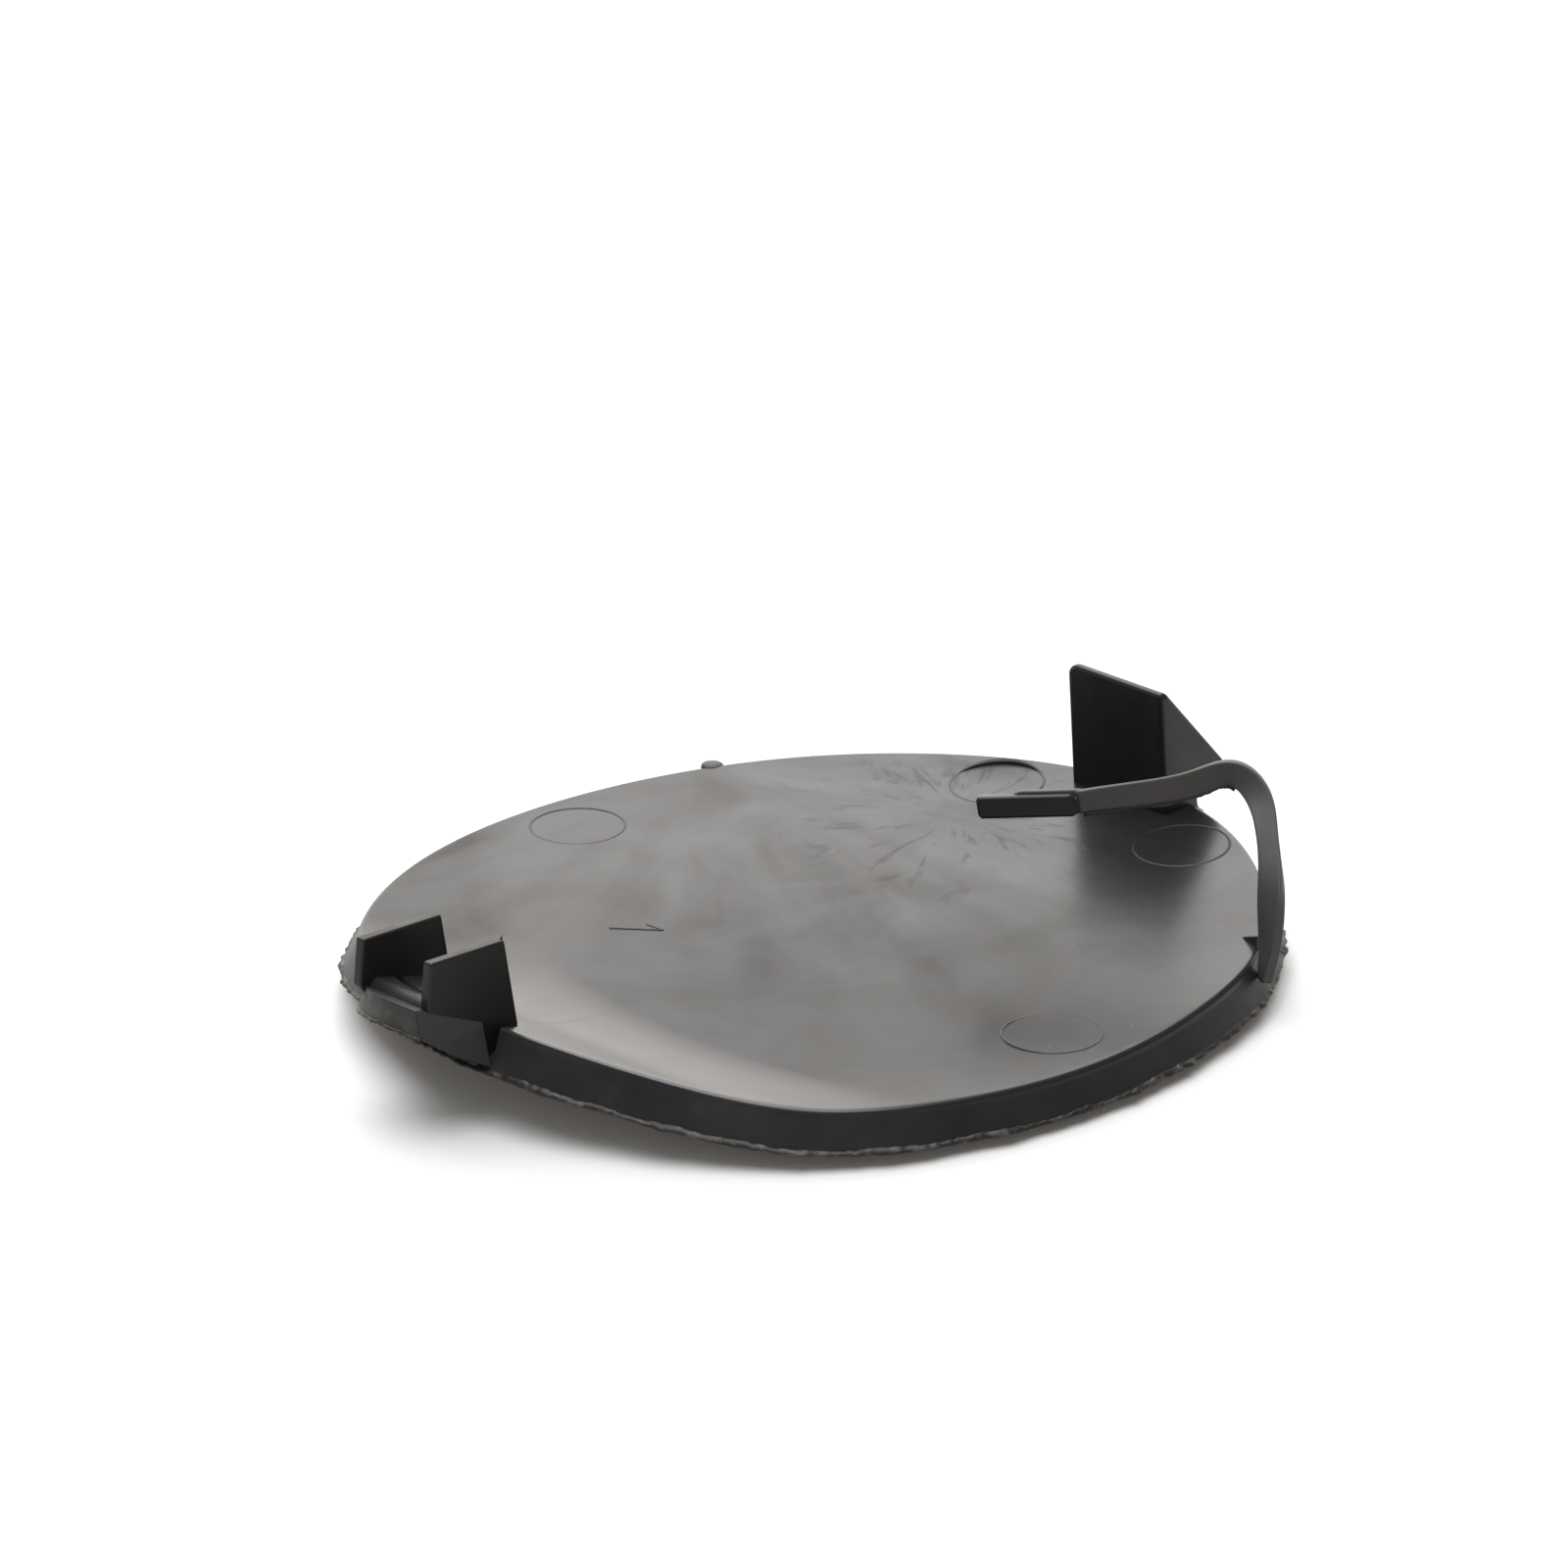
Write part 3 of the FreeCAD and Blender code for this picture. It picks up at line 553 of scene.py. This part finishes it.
# %% Lines, uneven edges and bars
# place in part axes, share of the breadth, and twist in degrees
STATIONS = np.array([
    (26.1, -39.1, 4.3, 0.7, -75), (26.7, -39.2, 8.6, 1.15, -60), (27.6, -38.4, 12.0, 1.15, -38),
    (28.8, -37.1, 14.8, 1.0, -12), (30.4, -35.0, 17.9, 0.95, 0), (31.9, -32.2, 20.8, 1.1, 0),
    (31.5, -28.9, 22.4, 1.08, 6), (29.3, -25.7, 21.0, 1.08, 14), (26.0, -21.8, 19.7, 1.05, 16),
    (21.4, -16.9, 18.6, 0.95, 12)])


def through(values, at):
    """Cubic spline through rows of values; at counts stations, the ends are not knots of their own."""
    n = len(values)
    matrix = 4 * np.eye(n) + np.eye(n, k=1) + np.eye(n, k=-1)
    matrix[0, :3], matrix[-1, -3:] = (1, -2, 1), (1, -2, 1)
    matrix[0, 3:], matrix[-1, :-3] = 0, 0
    rise = np.zeros_like(values)
    rise[1:-1] = 6 * (values[2:] - 2 * values[1:-1] + values[:-2])
    bend = np.linalg.solve(matrix, rise)
    i = np.clip(at.astype(int), 0, n - 2)
    u = (at - i)[:, None]
    w = 1 - u
    return w * values[i] + u * values[i + 1] + ((w ** 3 - w) * bend[i] + (u ** 3 - u) * bend[i + 1]) / 6


def ragged(count, coarse, fine, seed):
    """Uneven edge between 0 and 1: a few steps of random heights, joined straight, plus fine teeth."""
    rng = np.random.default_rng(seed)
    x = np.linspace(0, 1, count)
    slow = np.interp(x, np.linspace(0, 1, coarse), rng.random(coarse))
    quick = np.interp(x, np.linspace(0, 1, fine), rng.random(fine))
    return 0.7 * slow + 0.3 * quick


def section_ring(broad, thin, corner):
    """Rounded rectangles (m, n, 2) for arrays of sizes; each flat keeps a point close to its corners."""
    a = np.radians(np.concatenate([np.linspace(0, 90, 5) + 90 * k for k in range(4)]))
    sign_x = np.repeat([1, -1, -1, 1], 5)
    sign_y = np.repeat([1, 1, -1, -1], 5)
    x = sign_x * (0.5 * broad - corner)[:, None] + corner * np.cos(a)
    y = sign_y * (0.5 * thin - corner)[:, None] + corner * np.sin(a)
    outline = np.stack([x, y], -1)
    parts = []
    for k in range(4):
        first, last = outline[:, 5 * k], outline[:, 5 * k + 4]
        before, after = outline[:, 5 * k - 1], outline[:, (5 * k + 5) % 20]
        parts += [first + 0.12 * (before - first), *np.moveaxis(outline[:, 5 * k:5 * k + 5], 1, 0),
                  last + 0.12 * (after - last)]
    return np.stack(parts, 1)


def sweep(name, middle, broad, thin, broad_way, thin_way, material, corner=0.18):
    """Closed bar of rounded rectangles along a line, capped at both ends."""
    section = section_ring(broad, thin, corner)
    rings = middle[:, None] + section[..., :1] * broad_way[:, None] + section[..., 1:] * thin_way[:, None]
    return add_piece(name, rings.reshape(-1, 3), tube_faces(len(middle), section.shape[1]), material)


# %% The strap and the anchor block at its end
at = np.linspace(0, len(STATIONS) - 1, 140)
line = through(STATIONS, at)
middle = line[:, :3]
tangent = unit(np.gradient(middle, axis=0))
facing = np.array([math.sin(TURN), math.cos(TURN), 0.0])
thin_way = unit(facing - tangent * (tangent @ facing)[:, None])
twist = np.radians(line[:, 4])[:, None]
thin_way = thin_way * np.cos(twist) + np.cross(tangent, thin_way) * np.sin(twist)
broad_way = np.cross(tangent, thin_way)
sweep("tether_strap", middle, line[:, 3] * STRAP_BROAD, np.full(len(at), STRAP_THIN), broad_way, thin_way,
      strap_plastic)

heading = unit(np.array([-0.686, 0.718, -0.045]))
end, end_broad, end_thin = middle[-1], broad_way[-1:], thin_way[-1:]
reach = np.concatenate([np.linspace(-0.5, 0.3, 8), np.linspace(0.9, 9.2, 20), np.linspace(9.3, 9.8, 6)])
taper = np.clip(np.minimum((reach + 0.62) / 0.9, (9.85 - reach) / 0.3), 0.4, 1) ** 0.3
block_line = end + heading * (reach + 0.4)[:, None] + end_broad * 0.25
sweep("anchor_block", block_line, 2.3 * taper, 2.2 * taper, np.repeat(end_broad, len(reach), 0),
      np.repeat(end_thin, len(reach), 0), rib_plastic, 0.3)
# the strap's upper edge runs on over the block for half of its length
over = np.linspace(-0.6, 7.0, 24)
thinner = np.clip((7.2 - over) / 1.6, 0.2, 1) ** 0.5
end_line = end + heading * over[:, None] + end_thin * 0.5 - end_broad * 0.12
sweep("strap_end", end_line, 2.25 * thinner, 1.1 * thinner, np.repeat(end_broad, len(over), 0),
      np.repeat(end_thin, len(over), 0), strap_plastic)

# thin ragged skin that hangs from the lower edge of the arch
span = (at > 5.6) & (at < 9.0)
count = int(span.sum())
broad, thin = broad_way[span], thin_way[span]
edge = middle[span] + broad * (line[span, 3] * 0.5 * STRAP_BROAD)[:, None] - thin * 0.35
hang = 0.08 + 0.42 * ragged(count, 16, 60, 5)[:, None]
leaf = [edge - broad * 0.2, edge + broad * hang, edge + broad * hang + thin * 0.1,
        edge - broad * 0.2 + thin * 0.1]
add_piece("strap_flash", np.concatenate(leaf), strip_faces(4, count), strap_plastic)
print("strap length", round(float(np.linalg.norm(np.diff(middle, axis=0), axis=1).sum()), 1), "mm")

# %% [markdown]
# ## What the mould leaves behind
#
# Ejector pins print thin rings on the rear face, the gate leaves a half-round stub on the far rim,
# a cavity number stands near the fins, and thin ragged flash runs along the parting line.

# %% Ridges on the rear face

def ridge(name, path, width, height, material, closed=False):
    """Low ridge with a round back along a path (s, t) on the rear face; height can vary along it."""
    if closed:
        along = unit(np.roll(path, -1, 0) - np.roll(path, 1, 0))
    else:
        along = unit(np.gradient(path, axis=0))
    sideways = np.stack([-along[:, 1], along[:, 0]], -1)
    height = np.broadcast_to(height, len(path))
    width = np.broadcast_to(width, len(path))
    lines = []
    for place_across, lift in ((-1, -0.15), (-0.7, 0.5), (0, 1.0), (0.7, 0.5), (1, -0.15)):
        s, t = (path + sideways * (0.5 * place_across * width)[:, None]).T
        lines.append(np.stack([s, t, rear_height(s) + lift * height - 0.01], -1))
    lines.append(np.stack([*path.T, rear_height(path[:, 0]) - 0.08], -1))
    points = np.stack(lines, 1).reshape(-1, 3)
    faces = grid_faces(len(path), 6, True) if closed else tube_faces(len(path), 6)
    return add_piece(name, points, faces, material)


def arc(centre, radius, start, end, count, endpoint=True):
    """Angles from start to end in degrees, and the points (s, t) of that arc on the rear face."""
    a = np.linspace(math.radians(start), math.radians(end), count, endpoint=endpoint)
    return a, np.stack([centre[0] + radius * np.cos(a), centre[1] + radius * np.sin(a)], -1)


PINS = [(2.85, 38.5), (40.0, 13.3), (41.0, -13.0), (-1.1, -35.9)]
for number, pin in enumerate(PINS, start=1):
    a, path = arc(pin, PIN_RADIUS, 0, 360, 160, False)
    ridge("pin_mark_%d" % number, path, 0.34, 0.075 + 0.03 * np.sin(a + number), wall_plastic, True)
swell = np.sin(np.linspace(0, math.pi, 60))
path = arc(PINS[1], PIN_RADIUS + 0.05, -25, 95, 60)[1]
ridge("pin_flash", path, 0.3 + 0.3 * swell, 0.12 + 0.42 * swell, wall_plastic)
path = arc(PINS[3], PIN_RADIUS, 95, 230, 60)[1]
ridge("pin_flash_front", path, 0.3 + 0.1 * swell, 0.08 + 0.12 * swell, wall_plastic)
stem = np.linspace([-14.2, 14.9], [-10.5, 10.8], 30)
flag = np.linspace([-10.5, 10.8], [-10.7, 13.1], 16)
ridge("cavity_number_stem", stem, 0.26, 0.12, wall_plastic)
ridge("cavity_number_flag", flag, 0.22, 0.10, wall_plastic)

# %% Gate stub
GATE_ANGLE, GATE_REACH, GATE_RADIUS, GATE_POINTS = math.radians(59.2), 47.2, 1.1, 28
a = np.linspace(0, 2 * math.pi, GATE_POINTS, endpoint=False)
gate_s, gate_t = GATE_REACH * math.cos(GATE_ANGLE), GATE_REACH * math.sin(GATE_ANGLE)
level = seat_at(gate_s)
rings = [np.stack([gate_s + GATE_RADIUS * share * np.cos(a), gate_t + GATE_RADIUS * share * np.sin(a),
                   np.full(GATE_POINTS, level + lift)], -1)
         for share, lift in ((1.1, -3.0), (1.12, -0.35), (1.06, -0.05), (0.85, 0.1), (0.4, 0.13))]
add_piece("gate_stub", np.concatenate(rings), tube_faces(len(rings), GATE_POINTS), rough_plastic)

# %% Ragged flash along the foot of the wall
count = 2400
a = np.linspace(0, 2 * math.pi, count, endpoint=False)
foot_line = rim_radius(a) + FOOT_REACH
foot_height = skin_height(foot_line * np.cos(a), foot_line * np.sin(a))
hem = 0.12 + 0.85 * ragged(count, 70, 500, 3) ** 1.9
crest = 0.30 + 0.50 * ragged(count, 90, 600, 4)
inner, outer = foot_line - 0.35, foot_line + hem
rows = [np.stack([r * np.cos(a), r * np.sin(a), foot_height + lift], -1)
        for r, lift in ((inner, crest), (foot_line, crest), (outer, 0.28), (outer, 0.10),
                        (foot_line, 0.02), (inner, 0.02))]
add_piece("rim_flash", np.concatenate(rows), grid_faces(len(rows), count, True)[:, ::-1], flash_plastic)

# %% Flash on the nose, a spike on the near fin and the small rib at the strap's foot
count = 80
chin = np.array([nose_section(u)[3] for u in np.linspace(0.0, 1.0, count)])
out = np.array([-1, 0, 0]) * (0.1 + 0.35 * ragged(count, 14, 40, 11))[:, None]
lip = [chin + [0.2, 0, 0.25], chin + out + [0, 0, -0.05], chin + out + [0, 0, -0.2], chin + [0.25, 0, -0.3]]
add_piece("nose_flash", np.concatenate(lip), strip_faces(4, count), flash_plastic)


def spike(name, base, tip, radius, material):
    """Small cone from a base point to a tip."""
    base, tip = np.array(base, float), np.array(tip, float)
    way = unit(tip - base)
    first = unit(np.cross(way, [0.3, 0.8, 0.52]))
    second = np.cross(way, first)
    a = np.linspace(0, 2 * math.pi, 10, endpoint=False)[:, None]
    foot = base + radius * (np.cos(a) * first + np.sin(a) * second)
    faces = [[i, (i + 1) % 10, 10] for i in range(10)] + [list(range(10))[::-1]]
    return add_piece(name, np.vstack([foot, tip]), faces, material)


spike("fin_spike", (-45.95, -4.2, SEAT + 9.2), (-45.75, -4.2, SEAT + 9.95), 0.18, rib_plastic)
spike("foot_spur_1", (27.3, -39.4, 9.0), (28.0, -39.6, 9.6), 0.2, flash_plastic)
spike("foot_spur_2", (27.2, -39.6, 7.2), (27.7, -40.0, 7.1), 0.25, flash_plastic)
low = seat_at(29.0) - 0.1
rib = np.array([(29.0, -33.0, low), (28.0, -36.2, low), (28.0, -36.2, low + 1.3),
                (29.5, -33.0, low), (28.6, -36.2, low), (28.6, -36.2, low + 1.3)])
rib_faces = [[0, 1, 2], [5, 4, 3], [0, 3, 4, 1], [1, 4, 5, 2], [2, 5, 3, 0]]
add_piece("foot_rib", rib, rib_faces, rib_plastic, smooth=False)

# %% [markdown]
# ## Table, light and camera
#
# A bright wall behind the part lights the rear face at a grazing angle; the front stays dim, so
# that the hook, the fins and the wall of the plate, which face the camera, stay nearly black.

# %% Table: white to the camera, darker in front to reflections
TABLE_HALF = 6.0
corners = [(-TABLE_HALF, -TABLE_HALF, 0), (TABLE_HALF, -TABLE_HALF, 0), (TABLE_HALF, TABLE_HALF, 0),
           (-TABLE_HALF, TABLE_HALF, 0)]
floor_mesh = bpy.data.meshes.new("table")
floor_mesh.from_pydata(corners, [], [(0, 1, 2, 3)])
floor = bpy.data.objects.new("table", floor_mesh)
bpy.context.scene.collection.objects.link(floor)
table = Graph("white_table", 0.6, "#F4F4F4")
table.shader.inputs["Specular IOR Level"].default_value = 0.1
glow = table.add("ShaderNodeEmission", None, Color=linear("#FFF6EA"), Strength=0.06)
seen = table.add("ShaderNodeAddShader", None, i0=table.shader.outputs[0], i1=glow.outputs[0])
depth = table.add("ShaderNodeSeparateXYZ", None, Vector=table.moved()).outputs["Y"]
grey = table.blend(table.remap(depth, -0.02, 0.15, 0.0, 1.0), "#C4C3C0", "#FFFFFF")
mirrored = table.add("ShaderNodeBsdfDiffuse", None, Color=grey)
by_camera = table.add("ShaderNodeLightPath").outputs["Is Camera Ray"]
pick = table.add("ShaderNodeMixShader", None, i0=by_camera, i1=mirrored.outputs[0], i2=seen.outputs[0])
table.links.new(pick.outputs[0], table.nodes["Material Output"].inputs["Surface"])
floor_mesh.materials.append(table.material)


# %% Light: two strips behind the part, a ceiling and a weak light in front

def soft_light(name, place, aim, width, height, power, colour=(1.0, 1.0, 1.0)):
    """Rectangular area light at a place, turned to look at aim, not seen by the camera."""
    data = bpy.data.lights.new(name, "AREA")
    data.shape = "RECTANGLE"
    data.size, data.size_y, data.energy, data.color = width, height, power, colour
    lamp = bpy.data.objects.new(name, data)
    bpy.context.scene.collection.objects.link(lamp)
    lamp.location = place
    lamp.rotation_euler = (Vector(aim) - Vector(place)).to_track_quat("-Z", "Y").to_euler()
    lamp.visible_camera = False


soft_light("back_high", (-0.5, 1.3, 1.2), (0.0, 0.0, 0.1), 2.4, 1.1, 19.2, (1.0, 0.98, 0.96))
soft_light("back_low", (0.1, 1.35, 0.28), (0.0, 0.0, 0.1), 2.4, 0.55, 6.0, (1.0, 0.96, 0.91))
soft_light("ceiling", (-0.1, -0.03, 1.6), (0.0, 0.0, 0.0), 2.2, 1.8, 33.0)
soft_light("front_fill", (-0.3, -1.5, 1.1), (0.0, 0.0, 0.0), 1.4, 0.6, 1.5)
world = bpy.data.worlds.new("studio")
world.use_nodes = True
world.node_tree.nodes["Background"].inputs["Color"].default_value = (1.0, 1.0, 1.0, 1.0)
world.node_tree.nodes["Background"].inputs["Strength"].default_value = 0.12
bpy.context.scene.world = world

# %% Camera
camera_data = bpy.data.cameras.new("camera")
camera_data.lens = 201.4
camera_data.sensor_width = 36.0
camera = bpy.data.objects.new("camera", camera_data)
bpy.context.scene.collection.objects.link(camera)
camera.location = (-0.00307, -0.83061, 0.34025)
camera.rotation_euler = (math.radians(69.0), 0.0, 0.0)
bpy.context.scene.camera = camera
bpy.context.scene.view_settings.view_transform = "Standard"
